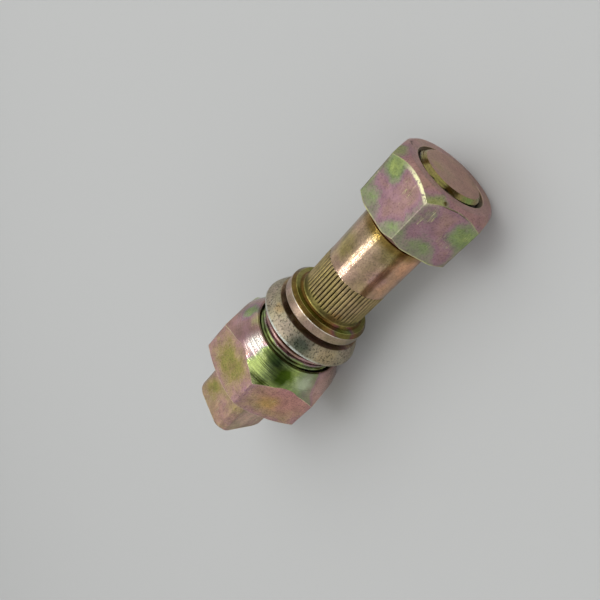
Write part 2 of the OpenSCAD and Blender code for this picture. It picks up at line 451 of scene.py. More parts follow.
def makeSurfaceGrain():
    # the plating's fine grain on slow waves, as a height
    tree, given, out = newGroup(
        "surfaceGrain",
        [("Vector", vector3), ("Grain Scale", number), ("Grain", number), ("Wave Scale", number),
         ("Wave", number)],
        [("Height", number)])
    grain = noiseValue(tree, given["Vector"], given["Grain Scale"], detail=3.0, roughness=0.6)
    wave = noiseValue(tree, given["Vector"], given["Wave Scale"], detail=2.0, roughness=0.5)
    height = math2(tree, "ADD", math2(tree, "MULTIPLY", grain, given["Grain"]),
                   math2(tree, "MULTIPLY", wave, given["Wave"]))
    tree.links.new(height, out["Height"])
    return tree


def makeLatheMarks():
    # fine rings left by turning, as a height
    tree, given, out = newGroup("latheMarks", [("Vector", vector3), ("Rings Per Metre", number)],
                                [("Height", number)])
    along, radius, angle = aroundAxis(tree, given["Vector"])
    along = math2(tree, "MULTIPLY", along, given["Rings Per Metre"])
    across = math2(tree, "MULTIPLY", radius, given["Rings Per Metre"])
    changeByTurn = 0.35   # small, so that the rings run nearly unbroken round the axis
    turn = math2(tree, "MULTIPLY", angle, changeByTurn)
    rings = addNode(tree, "ShaderNodeCombineXYZ", {0: along, 1: across, 2: turn}).outputs[0]
    height = noiseValue(tree, rings, scale=1.0, detail=2.0, roughness=0.6)
    tree.links.new(height, out["Height"])
    return tree


zincPlace = makeZincPlace()
spot = makeSpot()
rimBand = makeRimBand()
zincBloom = makeZincBloom()
zincDirt = makeZincDirt()
wearAndSheen = makeWearAndSheen()
surfaceGrain = makeSurfaceGrain()
latheMarks = makeLatheMarks()

# What a look leaves out is as here. Places and reaches of spots, shades, tints and rims are in mm.
plainLook = {
    "shift": (0, 0, 0),       # moves the pattern of patches and stains
    "warp": 0.003,            # how far borders wander
    "facing": 0,              # angle around the axis that counts as facing
    "flat": (0.0, 1.0),       # ends of a hexagon's flats, for borders
    "drift": [],              # field, start, end, phase beyond the end
    "spots": [],              # place, reach, phase
    "grainAmount": 0.16,
    "bands": [],              # field, start, end, colour to multiply with
    "shades": [],             # place, reach, colour to multiply with
    "tints": [],              # place, reach, colour to mix in, amount
    "stain": 0.3,
    "stainScale": 300.0,
    "speckle": 0.3,
    "speckleScale": 1900.0,
    "rims": [],               # slope, start, end, place, reach, colour to mix in; painted rim highlights and knocked rims
    # amount, reach and tone of worn edges, painted pale so that they also stand in for edge highlights
    "rubAndSheen": 0.5,
    "rubAndSheenReach": 0.6 * mm,
    "rubAndSheenTone": tone(232, 226, 176),
    "scratch": 0.4,
    "grain": 0.3,
    "grainScale": 1800.0,
    "wave": 1.0,
    "waveScale": 160.0,
    "rings": 0.0,
    "ringsPerMetre": 3000.0,
    "bump": 0.5,
    "bumpDistance": 0.1 * mm,
    "wornShine": 0.7,         # roughness of worn places and painted edge highlights, as a share of the lowest
}


def inMetres(centre, reach):
    return {"Centre": [c * mm for c in centre], "Reach": reach * mm}


def platedMetal(name, differences):
    # one yellow zinc finish
    look = {**plainLook, **differences}
    material = bpy.data.materials.new(name)
    material.use_nodes = True
    tree = material.node_tree
    shader = tree.nodes["Principled BSDF"]
    place = addNode(tree, "ShaderNodeTexCoord").outputs["Object"]
    moved = addNode(tree, "ShaderNodeMapping", {"Vector": place, "Location": look["shift"]}).outputs[0]
    low, high = look["flat"]
    fields = useGroup(tree, zincPlace, {"Vector": place, "Wander": look["warp"], "Low": low, "High": high,
                                        "Facing Angle": math.radians(look["facing"])})

    phase = look["phase"]
    for field, start, end, target in look["drift"]:
        phase = remap(tree, fields[field], start, end, phase, target)
    for centre, reach, target in look["spots"]:
        mask = useGroup(tree, spot, {"Vector": place, **inMetres(centre, reach)})["Mask"]
        phase = remap(tree, mask, 0.0, 1.0, phase, target)
    bloom = useGroup(tree, zincBloom, {"Vector": moved, "Phase": phase, "Patch Scale": look["patchScale"],
                                       "Patch Amount": look["patchAmount"],
                                       "Grain Amount": look["grainAmount"]})

    colour = bloom["Colour"]
    if "tint" in look:
        colour = mixColour(tree, look["tintAmount"], colour, look["tint"])
    for field, start, end, shade in look["bands"]:
        colour = mixColour(tree, remap(tree, fields[field], start, end), colour, shade, "MULTIPLY")
    for centre, reach, shade in look["shades"]:
        mask = useGroup(tree, spot, {"Vector": place, **inMetres(centre, reach)})["Mask"]
        colour = mixColour(tree, mask, colour, shade, "MULTIPLY")
    for centre, reach, shade, amount in look["tints"]:
        mask = useGroup(tree, spot, {"Vector": place, **inMetres(centre, reach)})["Mask"]
        colour = mixColour(tree, math2(tree, "MULTIPLY", mask, amount), colour, shade)
    dirt = useGroup(tree, zincDirt, {"Vector": place, "Stain Vector": moved, "Stain": look["stain"],
                                     "Stain Scale": look["stainScale"], "Speckle": look["speckle"],
                                     "Speckle Scale": look["speckleScale"]})
    colour = mixColour(tree, 1.0, colour, dirt["Tone"], "MULTIPLY")
    # rims: painted highlights along rims, and knocked rims
    for slope, start, end, centre, reach, shade in look["rims"]:
        mask = useGroup(tree, rimBand, {"Vector": place, "Slope": slope, "Start": start, "End": end,
                                        **inMetres(centre, reach)})["Mask"]
        colour = mixColour(tree, mask, colour, shade)
    # worn edges and scratches mixed to a pale tone, which also paints highlights along the edges
    wornAndSheen = useGroup(tree, wearAndSheen, {"Vector": place, "Reach": look["rubAndSheenReach"], "Rub And Sheen": look["rubAndSheen"],
                                 "Scratch": look["scratch"]})
    colour = mixColour(tree, wornAndSheen["Worn And Sheen"], colour, look["rubAndSheenTone"])
    tree.links.new(colour, shader.inputs["Base Color"])
    shader.inputs["Metallic"].default_value = 1.0

    low, high = look["roughness"]
    rough = remap(tree, bloom["Patch"], low=0.3, high=0.7, toLow=low, toHigh=high)
    rough = remap(tree, wornAndSheen["Worn And Sheen"], 0.0, 1.0, toLow=rough, toHigh=low * look["wornShine"])
    tree.links.new(rough, shader.inputs["Roughness"])

    grain = useGroup(tree, surfaceGrain, {"Vector": place, "Grain Scale": look["grainScale"],
                                          "Grain": look["grain"], "Wave Scale": look["waveScale"],
                                          "Wave": look["wave"]})
    height = math2(tree, "SUBTRACT", grain["Height"], wornAndSheen["Scratches"])
    if look["rings"]:
        rings = useGroup(tree, latheMarks, {"Vector": place, "Rings Per Metre": look["ringsPerMetre"]})
        height = math2(tree, "ADD", height, math2(tree, "MULTIPLY", rings["Height"], look["rings"]))
    bump = addNode(tree, "ShaderNodeBump", {"Height": height, "Strength": look["bump"],
                                            "Distance": look["bumpDistance"]})
    tree.links.new(bump.outputs[0], shader.inputs["Normal"])
    return material


# Stud

stud = {
    "steps": 208,                # four verts for each of the 52 grooves
    "shankR": 11.4 * mm,
    "hubThreadR": 11 * mm,
    "wheelThreadR": 10 * mm,
    "coreR": 8 * mm,             # less than the bottom of either thread
    "threadGap": 0.3 * mm,       # a thread ends this far from the next face
    "hubFade": 0.6 * mm,
    "wheelFade": 0.5 * mm,
    "wheelEnd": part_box("stud")[0].x,
    "hubEnd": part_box("stud")[1].x,
    "endChamfer": 1.5 * mm,
    "wheelChamfer": 1.2 * mm,
    "collarR": 15.1 * mm,
    "collarBack": -4.7 * mm,
    "collarBevel": 1.2 * mm,
    "collarSoft": 0.25 * mm,
    "fillet": 1.2 * mm,
    "filletCuts": 6,
    "shankSoft": 0.2 * mm,
    "shoulder": 34.8 * mm,
    "shoulderStep": 0.4 * mm,
    "knurlStart": 2.4 * mm,
    "knurlEnd": 15.2 * mm,
    "knurlMargin": 0.6 * mm,     # past the knurl, rings may lie farther apart
    "knurlStep": 0.35 * mm,
    "plainStep": 1.2 * mm,
    "endFinish": 3 * mm,         # length of the thread that shows in the hub nut
    "faceDepth": 0.2 * mm,       # faces this near the end, and turned to it, are the end's own
    "collarShare": 0.6,          # of the fillet, the rest looks as the knurl does
}

knurl = {
    "grooves": 52,
    "offsets": (-0.34, 0.34, 0.44, 0.56),   # land edge, land edge, groove, groove, in pitches
    "rise": 0.1 * mm,
    "depth": 0.32 * mm,
    "reach": 0.2 * mm,                      # only verts this near the shank's radius are moved
    "startWander": (-0.2, 0.6),
    "endWander": (-0.15, 0.15),
    "startFade": 0.5 * mm,
    "endFade": 0.4 * mm,
}

studLooks = {
    "shank": {
        "phase": 0.33, "patchScale": 110.0, "patchAmount": 0.4, "shift": (0.013, 0, 0.004), "warp": 0.0008,
        "drift": [("Along", stud["shoulder"] - 7 * mm, stud["shoulder"] - 2 * mm, 0.22)],
        "spots": [((22, -9.5, 6), 6, 0.46), ((30, -11, 0), 7, 0.4), ((23, 4, 10.5), 8, 0.14)],
        # the first two tints whiten the shank along the lamp's streak: painted highlight
        "tints": [((27, -3, 11), 8, tone(196, 170, 148), 0.5),
                  ((19, -3.5, 10.8), 7, tone(200, 168, 150), 0.6),
                  ((30.5, -8, 8), 4.5, tone(128, 122, 66), 0.6),
                  # these two brighten the orange where the shank mirrors the floor: partly film colour,
                  # partly painted reflection
                  ((30, -11, -0.5), 8, tone(252, 190, 144), 0.8),
                  ((20, -11, -0.5), 8, tone(246, 190, 150), 0.7)],
        "facing": 150,
        "bands": [("Along", stud["shoulder"] - 3.4 * mm, stud["shoulder"] - 1.4 * mm, tone(200, 188, 150)),
                  # a thin darker line where the shank faces the dark corner: painted dark reflection
                  ("Facing", 0.987, 0.998, tone(170, 150, 132))],
        "roughness": (0.17, 0.27), "stainScale": 420.0, "speckle": 0.35, "wave": 2.2, "waveScale": 300.0,
        "grain": 0.8, "rings": 0.5, "rubAndSheen": 0.9, "rubAndSheenReach": 0.4 * mm, "scratch": 0.2},
    "knurl": {
        "phase": 0.2, "patchScale": 130.0, "patchAmount": 0.3, "warp": 0.0,
        "drift": [("Along", 5 * mm, 2 * mm, 0.1)],
        # the grooves darkened towards their bottoms: painted shade in the grooves
        "bands": [("Radius", 11.45 * mm, 11.32 * mm, tone(40, 27, 14))],
        "shades": [((2, -9, 7), 4, tone(232, 214, 196))],
        "roughness": (0.46, 0.56), "stain": 0.35, "speckle": 0.4, "rubAndSheen": 0.0, "scratch": 0.1},
    "collar": {
        "phase": 0.34, "patchScale": 150.0, "patchAmount": 0.5, "warp": 0.0003,
        "tint": tone(150, 146, 132), "tintAmount": 0.3,
        # a painted highlight along the collar's front rim
        "rims": [(1.0, 13.45 * mm, 13.9 * mm, (-1.2, -7, 12), 20, tone(244, 240, 226))],
        "roughness": (0.28, 0.4), "stain": 0.35, "speckle": 0.45, "rings": 0.6, "grain": 0.8, "bump": 0.6,
        "rubAndSheen": 1.0, "rubAndSheenTone": tone(236, 228, 214)},
    "fineThread": {
        "phase": 0.22, "patchScale": 170.0, "patchAmount": 0.5, "roughness": (0.3, 0.4), "speckle": 0.35,
        "rubAndSheen": 0.3, "rubAndSheenReach": 0.2 * mm},
    "studEnd": {
        "phase": 0.42, "patchScale": 120.0, "patchAmount": 0.3,
        "tint": tone(196, 140, 116), "tintAmount": 0.3,
        "spots": [((58, 2, 6), 3, 0.24), ((58, -5, 1), 4, 0.42)],
        "roughness": (0.34, 0.44), "stain": 0.2, "speckle": 0.35, "bump": 0.8, "rubAndSheen": 0.4},
    "endThread": {
        "phase": 0.1, "patchScale": 200.0, "patchAmount": 0.4,
        "tints": [((57, -9.5, 1.5), 3.5, tone(132, 170, 96), 0.6)],
        # the shades and the band darken the thread inside the hub nut's countersink: painted shade in the
        # crevice
        "shades": [((57, -7.4, 7.2), 3.5, tone(110, 92, 70)), ((57, 4, 9.6), 3, tone(150, 126, 96))],
        "bands": [("Along", stud["hubEnd"] - 1.3 * mm, stud["hubEnd"] - 1.6 * mm, tone(70, 52, 34))],
        "roughness": (0.2, 0.3), "stain": 0.4, "rings": 2.0, "ringsPerMetre": 2600.0, "bump": 0.6,
        "rubAndSheen": 0.7, "rubAndSheenReach": 0.3 * mm},
    "collarFace": {
        "phase": 0.03, "patchScale": 150.0, "patchAmount": 0.25, "warp": 0.0003,
        "spots": [((0, -13.5, 3), 7, 0.92)],
        "bands": [("Radius", 13.8 * mm, 14.1 * mm, tone(196, 166, 150)),
                  ("Radius", 12.7 * mm, 12.3 * mm, tone(196, 156, 136))],
        "roughness": (0.2, 0.3), "stain": 0.25, "rings": 1.0, "rubAndSheen": 0.9, "rubAndSheenReach": 0.3 * mm,
        "rubAndSheenTone": tone(232, 226, 130)},
}


def buildStud():
    s = stud
    angles = [math.radians(90 * k / s["filletCuts"]) for k in range(s["filletCuts"], -1, -1)]
    fillet = [Vector((s["fillet"] * (1 - math.sin(a)), s["shankR"] + s["fillet"] * (1 - math.cos(a))))
              for a in angles]   # from the collar's face down to the shank
    collar = softened([
        (s["wheelEnd"], 0), (s["wheelEnd"], s["wheelThreadR"] - s["wheelChamfer"]),
        (s["wheelEnd"] + s["wheelChamfer"], s["wheelThreadR"]),
        (s["collarBack"], s["wheelThreadR"]), (s["collarBack"], s["collarR"]),
        (-s["collarBevel"], s["collarR"]), (0, s["collarR"] - s["collarBevel"])], s["collarSoft"])
    shank = softened([
        (s["knurlStart"], s["shankR"]), (s["knurlEnd"] + s["knurlMargin"], s["shankR"]),
        (s["shoulder"], s["shankR"]), (s["shoulder"] + s["shoulderStep"], s["hubThreadR"]),
        (s["hubEnd"] - s["endChamfer"], s["hubThreadR"]),
        (s["hubEnd"], s["hubThreadR"] - s["endChamfer"]), (s["hubEnd"], 0)], s["shankSoft"])

    def stepFor(a, b):
        low, high = min(a.x, b.x), max(a.x, b.x)
        threaded = high <= s["collarBack"] + s["threadGap"] or low >= s["shoulder"]
        if threaded and min(a.y, b.y) > s["coreR"]:
            return threadStep
        plain = s["knurlEnd"] + s["knurlMargin"] / 2 < low < s["shoulder"]
        return s["plainStep"] if plain else s["knurlStep"]

    bm = turnOnLathe(dividedBy(collar + fillet + shank, stepFor), s["steps"])
    rollKnurl(bm)
    cutThread(bm, s["wheelEnd"], s["collarBack"] - s["threadGap"], s["wheelThreadR"], fadeEnd=s["wheelFade"])
    cutThread(bm, s["shoulder"] + s["threadGap"], s["hubEnd"], s["hubThreadR"], fadeStart=s["hubFade"])
    return bm


def rollKnurl(bm):
    s, k = stud, knurl
    random.seed(5)
    starts = [s["knurlStart"] + random.uniform(*k["startWander"]) * mm for _ in range(k["grooves"])]
    ends = [s["knurlEnd"] + random.uniform(*k["endWander"]) * mm for _ in range(k["grooves"])]
    for v in bm.verts:
        r = radiusOf(v.co)
        if r < axisR:
            continue
        angle = math.atan2(v.co.z, v.co.y)
        tooth, place = divmod(round(angle / (2 * math.pi) * s["steps"]) % s["steps"], len(k["offsets"]))
        angle = (tooth + k["offsets"][place]) * 2 * math.pi / k["grooves"]
        low, high = starts[tooth], ends[tooth]
        if low < v.co.x < high and abs(r - s["shankR"]) < k["reach"]:
            fade = min(1, (v.co.x - low) / k["startFade"], (high - v.co.x) / k["endFade"])
            onLand = place < 2
            r += fade * (k["rise"] if onLand else -k["depth"])
        v.co.y = r * math.cos(angle)
        v.co.z = r * math.sin(angle)


def studFinish(centre, normal):
    s = stud
    if centre.x > s["hubEnd"] - s["faceDepth"] and normal.x > 0.9:
        return "studEnd"
    if centre.x > s["hubEnd"] - s["endFinish"]:
        return "endThread"
    if centre.x > s["shoulder"] + s["shoulderStep"] or centre.x < s["collarBack"] - 0.1 * mm:
        return "fineThread"
    if centre.x < s["fillet"] * s["collarShare"]:
        return "collarFace" if normal.x > 0.3 else "collar"
    return "knurl" if centre.x < s["knurlEnd"] else "shank"


# Hub nut

hubNut = {
    "steps": 192,
    "low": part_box("hub_nut")[0].x,
    "high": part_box("hub_nut")[1].x,
    "halfFlats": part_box("hub_nut")[1].z,
    "blankSpare": 0.4 * mm,      # the blank is this much larger than the finished corners
    "chamfer": 3.3 * mm,
    "seatChamfer": 1.6 * mm,
    "chamferAngle": math.radians(43),
    "threadR": 11.05 * mm,
    "mouth": 0.9 * mm,
    "soft": 0.3 * mm,
    "edge": 0.4 * mm,
    "rimEdge": 0.9 * mm,
}

# radius + x * slope is the same all over the chamfer
hubRimSlope = 1 / math.tan(hubNut["chamferAngle"])

hubNutLooks = {
    "hubNut": {
        "phase": 0.53, "patchScale": 150.0, "patchAmount": 0.4, "flat": (hubNut["low"], hubNut["high"]),
        "drift": [("Border", 0.7, 1.05, 0.78)], "warp": 0.004,
        "tint": tone(120, 108, 88), "tintAmount": 0.1,
        "spots": [((52.5, 5, 16), 6.5, 0.88), ((40, 4, 16), 7.5, 0.75), ((40, -7.5, 16), 6.5, 0.77),
                  ((50, -16.5, 3.4), 6.5, 0.83), ((40.5, -13, 9.5), 7.5, 0.74), ((51, -10.3, 14), 6.5, 0.73),
                  ((46.5, -12.5, 11), 6, 0.6), ((45, 15, 4), 6, 0.84), ((47, 4, -16), 6, 0.84)],
        # the pale rim is a painted highlight along the front arc of the top flat, the dark one a knock on the
        # rim
        "rims": [(hubRimSlope, 74.6 * mm, 75.9 * mm, (54, -3.5, 16), 9, tone(255, 252, 200)),
                 (hubRimSlope, 75.5 * mm, 76.0 * mm, (54, -14, 9), 8, tone(70, 56, 52))],
        "roughness": (0.34, 0.44), "stain": 0.25, "bump": 0.7, "rubAndSheen": 1.0, "rubAndSheenReach": 0.7 * mm,
        "rubAndSheenTone": tone(252, 250, 176), "scratch": 0.8},
    "bore": {
        # darkened nearly to brown-black: painted shade inside the bore
        "phase": 0.2, "patchScale": 170.0, "patchAmount": 0.4, "tint": tone(58, 44, 34), "tintAmount": 0.75,
        "roughness": (0.4, 0.5), "rubAndSheen": 0.0},
    "hubFace": {
        "phase": 0.5, "patchScale": 120.0, "patchAmount": 0.35,
        "drift": [("Radius", 16.8 * mm, 18.2 * mm, 0.72)],
        "tint": tone(200, 146, 126), "tintAmount": 0.2,
        "spots": [((55, 9.5, 14), 6, 0.78), ((54.2, -10.5, 13.5), 6, 0.9), ((55, -15, -9), 5, 0.76)],
        "shades": [((57, 11.3, 8.8), 1.1, tone(96, 70, 60)), ((54, -15, 7.5), 2, tone(150, 130, 126)),
                   ((55, -10.8, 11.5), 1.5, tone(150, 130, 110))],
        "roughness": (0.34, 0.44), "stain": 0.2, "speckle": 0.35, "bump": 0.8, "rubAndSheen": 0.6,
        "rubAndSheenReach": 0.5 * mm, "scratch": 0.3},
}


def buildHubNut():
    n = hubNut
    cornerR = n["halfFlats"] * 2 / math.sqrt(3)
    slope = math.tan(n["chamferAngle"])
    faceR = cornerR - n["chamfer"] / slope
    seatR = cornerR - n["seatChamfer"] / slope
    blankR = cornerR + n["blankSpare"]
    outside = softened([
        (n["low"], n["threadR"] + n["mouth"]), (n["low"], seatR),
        (n["low"] + (blankR - seatR) * slope, blankR),
        (n["high"] - (blankR - faceR) * slope, blankR), (n["high"], faceR),
        (n["high"], n["threadR"] + n["mouth"])], n["soft"])
    return makeNut(n, outside, finePitch, fineDepth)


def inBore(n, centre):
    return radiusOf(centre) < n["threadR"] + n["mouth"] * 0.9


def hubNutFinish(centre, normal):
    if inBore(hubNut, centre):
        return "bore"
    return "hubFace" if abs(normal.x) > 0.55 else "hubNut"


# Inner nut

innerNut = {
    "steps": 180,
    "front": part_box("inner_nut")[1].x,
    "tip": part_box("inner_nut")[0].x,
    "flangeR": 18.25 * mm,
    "seatFrontR": 15.7 * mm,
    "seatBallR": 19.5 * mm,
    "seatCuts": 8,
    "lip": 0.9 * mm,
    "threadR": 15 * mm,
    "threadEnd": -46.4 * mm,
    "threadChamfer": 1.2 * mm,
    "threadCrest": 0.45,         # share of the pitch that stays at full height
    "threadFade": 0.6 * mm,
    "reliefEnd": 1.8 * mm,       # the groove next to the flange, from the flange's back
    "reliefSlope": 0.5 * mm,
    "boreR": 10.15 * mm,         # 0.1 mm more than in the solids, so that the thread's flanks stay apart
    "boreEnd": -33.7 * mm,
    "boreThreadStart": -32.7 * mm,
    "drillTip": 5.5 * mm,
    "mouth": 0.9 * mm,
    "squareHalf": 10.5 * mm,
    "squareCornerR": 13.5 * mm,
    "squareTip": 1 * mm,
    "squareSoft": 0.16 * mm,
    "squareStep": 0.7 * mm,
    "plainStep": 2 * mm,
    "soft": 0.3 * mm,
}

innerNutLooks = {
    "ballSeat": {
        "phase": 0.3, "patchScale": 170.0, "patchAmount": 0.7, "tint": tone(178, 175, 154), "tintAmount": 0.6,
        "spots": [((-8.7, 1.5, 16.8), 4, 0.3)],
        # a painted highlight along the flange's back edge
        "rims": [(-1.0, 29.4 * mm, 31.0 * mm, (-12, -6, 17), 22, tone(214, 220, 210))],
        "shades": [((-9.6, -10.8, 13.7), 6.5, tone(140, 158, 158))],
        "tints": [((-9, -17, 6), 7, tone(206, 180, 136), 0.5), ((-7.6, 3, 16), 3, tone(190, 160, 110), 0.6)],
        "roughness": (0.34, 0.48), "stain": 0.35, "stainScale": 260.0, "speckle": 0.75,
        "speckleScale": 1500.0, "grain": 1.6, "grainScale": 2600.0, "bump": 0.9, "rings": 0.5, "rubAndSheen": 0.9,
        "rubAndSheenTone": tone(220, 226, 214)},
    "coarseThread": {
        "phase": 0.5, "patchScale": 170.0, "patchAmount": 0.5, "warp": 0.002,
        "drift": [("Along", -17.2 * mm, -18.2 * mm, 0.84)],
        # the thread darkened towards its roots: painted shade between the crests
        "bands": [("Radius", 14.8 * mm, 14.3 * mm, tone(120, 92, 82))],
        "roughness": (0.24, 0.34), "speckle": 0.35, "rubAndSheen": 0.4, "rubAndSheenReach": 0.2 * mm},
    "squareEnd": {
        "phase": 0.36, "patchScale": 170.0, "patchAmount": 0.6, "grainAmount": 0.4,
        "spots": [((-61.5, 4, 10.5), 6, 0.08), ((-62, -7, 10.5), 6, 0.46)],
        "tints": [((-60, -10.5, 2), 9, tone(224, 184, 162), 0.7),
                  ((-64, -4, 10.5), 7, tone(190, 150, 130), 0.5)],
        "roughness": (0.38, 0.48), "stain": 0.35, "speckle": 0.4, "bump": 1.0, "wave": 1.6, "rubAndSheen": 0.7,
        "scratch": 0.9},
}


def buildInnerNut():
    n = innerNut
    ballX = n["front"] - math.sqrt(n["seatBallR"] ** 2 - n["seatFrontR"] ** 2)
    seat = arcOutline(ballX, n["seatBallR"], n["seatFrontR"], n["flangeR"], n["seatCuts"])
    flangeBack = seat[-1][0] - n["lip"]
    reliefX, reliefR = flangeBack - n["reliefEnd"], n["threadR"] - coarseDepth
    threadStart = reliefX + 0.1 * mm
    boreR = n["boreR"] - fineDepth
    tipX, cornerR = n["tip"], n["squareCornerR"]
    outside = softened(
        [(n["front"], n["boreR"] + n["mouth"]), (n["front"], n["seatFrontR"])] + seat[1:] + [
            (flangeBack, n["flangeR"]), (flangeBack, reliefR), (reliefX, reliefR),
            (reliefX - n["reliefSlope"], n["threadR"]), (n["threadEnd"] + n["threadChamfer"], n["threadR"]),
            (n["threadEnd"], n["threadR"] - n["threadChamfer"]),
            (n["threadEnd"], cornerR), (tipX + n["squareTip"], cornerR),
            (tipX, cornerR - n["squareTip"]), (tipX, 0)], n["soft"])
    bore = [Vector((n["boreEnd"] - n["drillTip"], 0)), Vector((n["boreEnd"], boreR))] + divided(
        [Vector((n["boreEnd"] + 0.01 * mm, boreR)), Vector((n["front"] - n["mouth"] - fineDepth, boreR))],
        threadStep)
    mouth = divided([bore[-1], outside[0]], threadStep)[1:-1]

    def stepFor(a, b):
        low, high = min(a.x, b.x), max(a.x, b.x)
        if n["threadEnd"] <= low and high <= threadStart:
            return threadStep
        return n["squareStep"] if high < n["threadEnd"] + 0.1 * mm else n["plainStep"]

    bm = turnOnLathe(bore + mouth + dividedBy(outside, stepFor), n["steps"])
    shapeSquare(bm)
    cutThread(bm, n["threadEnd"], threadStart, n["threadR"], pitch=coarsePitch, full=coarseDepth,
              fadeEnd=n["threadFade"], crest=n["threadCrest"])
    cutThread(bm, n["boreThreadStart"], n["front"], n["boreR"], inside=True)
    return bm


def shapeSquare(bm):
    # forges the round end into a square with soft corners
    n = innerNut
    soft, hair = n["squareSoft"], 0.01 * mm
    for v in bm.verts:
        r = radiusOf(v.co)
        onThreadEnd = v.co.x > n["threadEnd"] - hair and r > n["squareCornerR"] + 0.1 * mm
        if v.co.x > n["threadEnd"] + hair or onThreadEnd or r < axisR:
            continue
        angle = math.atan2(v.co.z, v.co.y)
        offset = (angle + math.pi / 4) % (math.pi / 2) - math.pi / 4
        flat = n["squareHalf"] / math.cos(offset)
        blend = max(0, 1 - abs(r - flat) / (2 * soft)) ** 2 * soft / 2
        setRadius(v, min(r, flat) - blend)


def innerNutFinish(centre, normal):
    n = innerNut
    onEnds = centre.x < n["threadEnd"] + 0.05 * mm or centre.x > n["front"] - 0.05 * mm
    if onEnds:
        return "squareEnd"
    return "ballSeat" if radiusOf(centre) > n["threadR"] + 0.2 * mm else "coarseThread"


# Outer nut

outerNut = {
    "steps": 144,
    "low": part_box("outer_nut")[0].x,
    "high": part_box("outer_nut")[1].x,
    "halfFlats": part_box("outer_nut")[1].z,
    "blankSpare": 0.4 * mm,
    "threadR": 15.05 * mm,
    "mouth": 0.9 * mm,
    "mouthR": 16.6 * mm,
    "seatCrown": 1.5 * mm,
    "seatReach": 0.5 * mm,
    "seatCuts": 14,
    "seatLength": 12.5 * mm,
    "seatChamferAngle": math.radians(41),
    "chamfer": 1.9 * mm,
    "chamferAngle": math.radians(33),
    "soft": 0.25 * mm,
    "edge": 0.4 * mm,
    "rimEdge": 0.4 * mm,
}

outerNutLooks = {
    "outerNut": {
        "phase": 0.06, "patchScale": 210.0, "patchAmount": 0.5, "grainAmount": 0.45,
        "flat": (outerNut["low"], outerNut["high"] - 7 * mm),
        "drift": [("Border", 0.35, 0.95, 0.5)], "warp": 0.005,
        "tints": [((-31, -18, 8), 16, tone(206, 146, 142), 0.8),
                  ((-35.5, -17, 12), 5.5, tone(206, 170, 96), 0.75)],
        "roughness": (0.36, 0.46), "speckle": 0.45, "bump": 1.0, "grain": 0.6, "rubAndSheen": 0.8, "scratch": 0.5},
    # the colours follow the angle around the seat, from rose at the top left to rose at the right
    "turnedSeat": {
        "phase": 0.48, "patchScale": 150.0, "patchAmount": 0.3, "warp": 0.005, "facing": 60,
        "drift": [("Facing", 0.8, 0.7, 0.93), ("Facing", 0.55, 0.45, 0.86),
                  ("Facing", -0.1, -0.22, 0.79), ("Facing", -0.42, -0.52, 0.48)],
        "spots": [((-22, 12, 13.5), 5.5, 0.84)],
        # the first tint, near white, is a painted highlight
        "tints": [((-22.5, -0.5, 18.4), 5, tone(236, 230, 218), 0.8),
                  ((-19.5, 6.5, 14.6), 4, tone(206, 204, 140), 0.7),
                  ((-26, -7.5, 19), 5, tone(214, 232, 140), 0.7),
                  ((-23, -17.5, 5.5), 5, tone(206, 216, 182), 0.8),
                  ((-25.5, -19.3, -4), 9, tone(226, 184, 172), 0.8)],
        # the shades darken the glossy seat where it mirrors dark things: painted dark reflections
        "shades": [((-20.2, -8.6, 14.8), 5.5, tone(126, 142, 130)),
                   ((-23.5, -14, 12.5), 7, tone(112, 130, 70)),
                   ((-29.5, -12.4, 17.6), 3, tone(160, 166, 130))],
        "roughness": (0.14, 0.22), "stain": 0.25, "speckle": 0.15, "rings": 5.0, "ringsPerMetre": 1700.0,
        "bump": 0.7, "grain": 0.1, "wave": 0.6, "rubAndSheen": 0.9, "rubAndSheenReach": 0.5 * mm, "scratch": 0.2},
}


def buildOuterNut():
    n = outerNut
    cornerR = n["halfFlats"] * 2 / math.sqrt(3)
    blankR = cornerR + n["blankSpare"]
    faceR = cornerR - n["chamfer"] / math.tan(n["chamferAngle"])
    blankChamfer = (blankR - faceR) * math.tan(n["chamferAngle"])
    ballR = n["halfFlats"] + n["seatCrown"]
    ballX = n["high"] - math.sqrt(ballR ** 2 - n["mouthR"] ** 2)
    seatR = n["halfFlats"] + n["seatReach"]
    seat = arcOutline(ballX, ballR, n["mouthR"], seatR, n["seatCuts"])
    seat.reverse()
    seatBack = seat[0][0] - (blankR - seatR) * math.tan(n["seatChamferAngle"])
    outside = softened([
        (n["low"], n["threadR"] + n["mouth"]), (n["low"], faceR), (n["low"] + blankChamfer, blankR),
        (seatBack, blankR)] + seat + [(n["high"], n["threadR"] + n["mouth"])], n["soft"])
    return makeNut(n, outside, coarsePitch, coarseDepth)


def outerNutFinish(centre, normal):
    if inBore(outerNut, centre):
        return "bore"
    onSeat = centre.x > outerNut["high"] - outerNut["seatLength"] and normal.x > 0.1
    return "turnedSeat" if onSeat else "outerNut"


# Stage

stage = {
    "floorSize": 16.0,
    "floorTone": tone(176, 177, 176),
    "floorRoughness": 0.85,
    "floorSpecular": 0.2,
    "floorGap": 0.02 * mm,
    "hubContactX": 56.0 * mm,      # last point of the hub nut's lower flat
    "outerContactX": -26.0 * mm,   # first point of the outer nut's lower flat
    "backdrop": tone(194, 195, 194),
}

# name, place, direction of the long side, sizes, power; the bright ones show only in the metal
brightLamps = [
    ("spotLamp", (-0.58, 0.16, 1.03), (0, 1, 0), (0.2, 0.05), 1.5),
    ("stripLamp", (0.3, 0.28, 1.12), (-0.43, 0.8, -0.27), (0.7, 0.2), 2.6),
]
# the soft ones light only the floor, the metal mirrors the plain room in their place
softLamps = [
    ("softTop", (0.1, 0.5, 1.0), (0, 1, 0.01), (1.3, 1.5), 7.9),
    ("softFill", (0.2, -0.9, 0.5), (0, 1, 0.01), (1.2, 1.0), 3.8),
]
